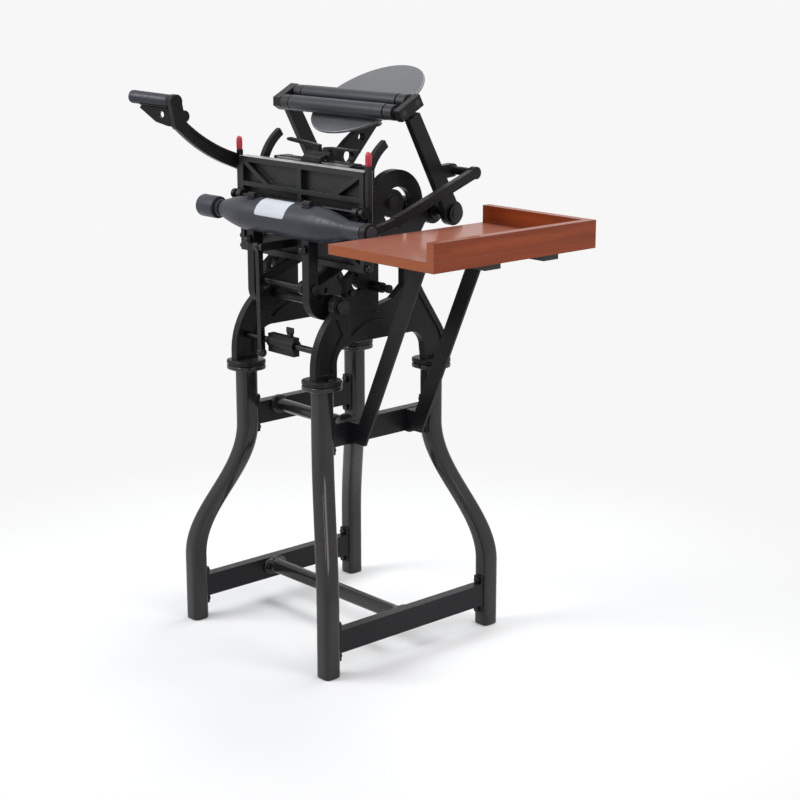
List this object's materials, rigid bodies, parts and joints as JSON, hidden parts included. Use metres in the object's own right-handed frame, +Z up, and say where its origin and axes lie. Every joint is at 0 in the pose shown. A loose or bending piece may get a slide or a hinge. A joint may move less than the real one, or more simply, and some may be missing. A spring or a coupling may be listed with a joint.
{
  "type": "hand_lever_platen_press_on_stand",
  "caption": "Hand-lever letterpress on a bent four-legged stand: rocking platen, chase bed, tilted round ink disk, roller arms, side lever and a red wooden feed board at the right",
  "frame": {"origin": "On the floor, midway between the four feet", "axes": "+X from the lever side to the feed board, +Y from the operator to the rear, +Z up. Rest pose: platen closed, rollers up over the ink disk, lever as pictured."},
  "size_m": [0.9229, 0.5503, 1.2334],
  "materials": {
    "stand_enamel": "satin dark enamel over cast legs",
    "press_enamel": "satin near-black machine enamel",
    "dark_steel": "darkened turned steel",
    "bare_steel": "bare machined steel",
    "disk_steel": "turned face, worn by ink rollers",
    "red_tip": "red rubber cap",
    "roller_rubber": "smooth dark roller composition",
    "board_wood": "glossy red-brown lacquer"
  },
  "bodies": {
    "stand_frame": {"leg_front_left": "stand_enamel", "leg_front_right": "stand_enamel", "leg_rear_left": "stand_enamel", "leg_rear_right": "stand_enamel", "upper_stretcher_left": "stand_enamel", "upper_stretcher_right": "stand_enamel", "lower_stretcher_left": "stand_enamel", "lower_stretcher_right": "stand_enamel", "centre_bar": "stand_enamel", "upper_cross_tube": "stand_enamel", "stand_bolts": "dark_steel", "flange_bolts": "dark_steel", "side_frame_left": "press_enamel", "side_frame_right": "press_enamel", "bed": "press_enamel", "head_shaft": "dark_steel", "lower_rod": "dark_steel", "rod_clamp": "press_enamel", "buffer_stud": "dark_steel", "frame_bolts": "dark_steel", "roller_rail_left": "press_enamel", "roller_rail_right": "press_enamel", "chase": "bare_steel", "disk_bracket": "press_enamel", "board_floor": "board_wood", "board_side": "board_wood", "board_back": "board_wood", "board_bracket_front": "stand_enamel", "board_bracket_rear": "stand_enamel", "board_runners": "board_wood"},
    "clamp_screw": {"thumbscrew": "dark_steel"},
    "latch": {"chase_latch": "press_enamel"},
    "disk": {"ink_disk": "disk_steel", "disk_ratchet": "dark_steel"},
    "platen_rocker": {"rocker_shaft": "dark_steel", "rocker_arm_left": "press_enamel", "rocker_arm_right": "press_enamel", "draw_pin": "dark_steel", "impression_bar": "press_enamel", "platen": "press_enamel", "impression_screws": "dark_steel"},
    "grippers": {"gripper_shaft": "dark_steel", "gripper_left": "dark_steel", "gripper_right": "dark_steel", "gripper_tips": "red_tip"},
    "throw_rod": {"pull_rod": "dark_steel"},
    "draw_bars": {"draw_bar_left": "press_enamel", "draw_bar_right": "press_enamel"},
    "lever": {"main_shaft": "dark_steel", "cranks": "press_enamel", "lever_arm": "press_enamel", "lever_grip": "press_enamel"},
    "roller_links": {"roller_link_left": "press_enamel", "roller_link_right": "press_enamel"},
    "roller_arms": {"roller_arm_left": "press_enamel", "roller_arm_right": "press_enamel"},
    "saddles": {"saddle_left": "press_enamel", "saddle_right": "press_enamel"},
    "roller_upper": {"upper_roller": "roller_rubber"},
    "roller_lower": {"lower_roller": "roller_rubber"}
  },
  "joints": [
    {"name": "platen_rock", "type": "hinge", "parent": "stand_frame", "child": "platen_rocker", "pos_m": [0, -0.112, 0.76], "axis": [1, 0, 0], "range_deg": [0, 32]},
    {"name": "lever_throw", "type": "hinge", "parent": "stand_frame", "child": "lever", "pos_m": [0, 0.148, 0.937], "axis": [1, 0, 0], "range_deg": [-90, 0]},
    {"name": "roller_arm_swing", "type": "hinge", "parent": "stand_frame", "child": "roller_arms", "pos_m": [0, 0.148, 0.937], "axis": [1, 0, 0], "range_deg": [0, 66.6]},
    {"name": "saddle_slide", "type": "slide", "parent": "roller_arms", "child": "saddles", "axis": [0, -0.4772, 0.8788], "range_m": [0, 0.024]},
    {"name": "upper_roller_spin", "type": "hinge", "parent": "saddles", "child": "roller_upper", "pos_m": [0, 0.04286, 1.1737], "axis": [1, 0, 0], "continuous": true},
    {"name": "lower_roller_spin", "type": "hinge", "parent": "saddles", "child": "roller_lower", "pos_m": [0, 0.00675, 1.15409], "axis": [1, 0, 0], "continuous": true},
    {"name": "draw_bar_turn", "type": "hinge", "parent": "platen_rocker", "child": "draw_bars", "pos_m": [0, -0.15, 0.795], "axis": [1, 0, 0], "range_deg": [-24, 0]},
    {"name": "roller_link_turn", "type": "hinge", "parent": "platen_rocker", "child": "roller_links", "pos_m": [0, -0.147, 0.932], "axis": [1, 0, 0], "range_deg": [-34.4, 0]},
    {"name": "gripper_swing", "type": "hinge", "parent": "platen_rocker", "child": "grippers", "pos_m": [0, -0.111, 0.961], "axis": [1, 0, 0], "range_deg": [-30, 0]},
    {"name": "throw_rod_turn", "type": "hinge", "parent": "platen_rocker", "child": "throw_rod", "pos_m": [-0.052, -0.175, 0.87], "axis": [1, 0, 0], "range_deg": [-17, 0]},
    {"name": "ink_disk_turn", "type": "hinge", "parent": "stand_frame", "child": "disk", "pos_m": [0, 0.085, 1.17], "axis": [0, -0.4894, 0.8721], "continuous": true},
    {"name": "chase_latch_turn", "type": "hinge", "parent": "stand_frame", "child": "latch", "pos_m": [0, -0.046, 1.058], "axis": [1, 0, 0], "range_deg": [-70, 0], "stiffness_Nm_per_rad": 0.2},
    {"name": "clamp_screw_turn", "type": "hinge", "parent": "stand_frame", "child": "clamp_screw", "pos_m": [0.024, -0.154, 0.7], "axis": [0, 0, 1], "continuous": true}
  ],
  "couplings": [
    {"joint": "lever_throw", "follows": "platen_rock", "ratio": -2.8125},
    {"joint": "roller_arm_swing", "follows": "platen_rock", "ratio": 2.0812},
    {"joint": "saddle_slide", "follows": "platen_rock", "m_per_rad": 0.04297},
    {"joint": "draw_bar_turn", "follows": "platen_rock", "ratio": -0.75},
    {"joint": "roller_link_turn", "follows": "platen_rock", "ratio": -1.075},
    {"joint": "gripper_swing", "follows": "platen_rock", "ratio": -0.9375},
    {"joint": "throw_rod_turn", "follows": "platen_rock", "ratio": -0.53125}
  ]
}
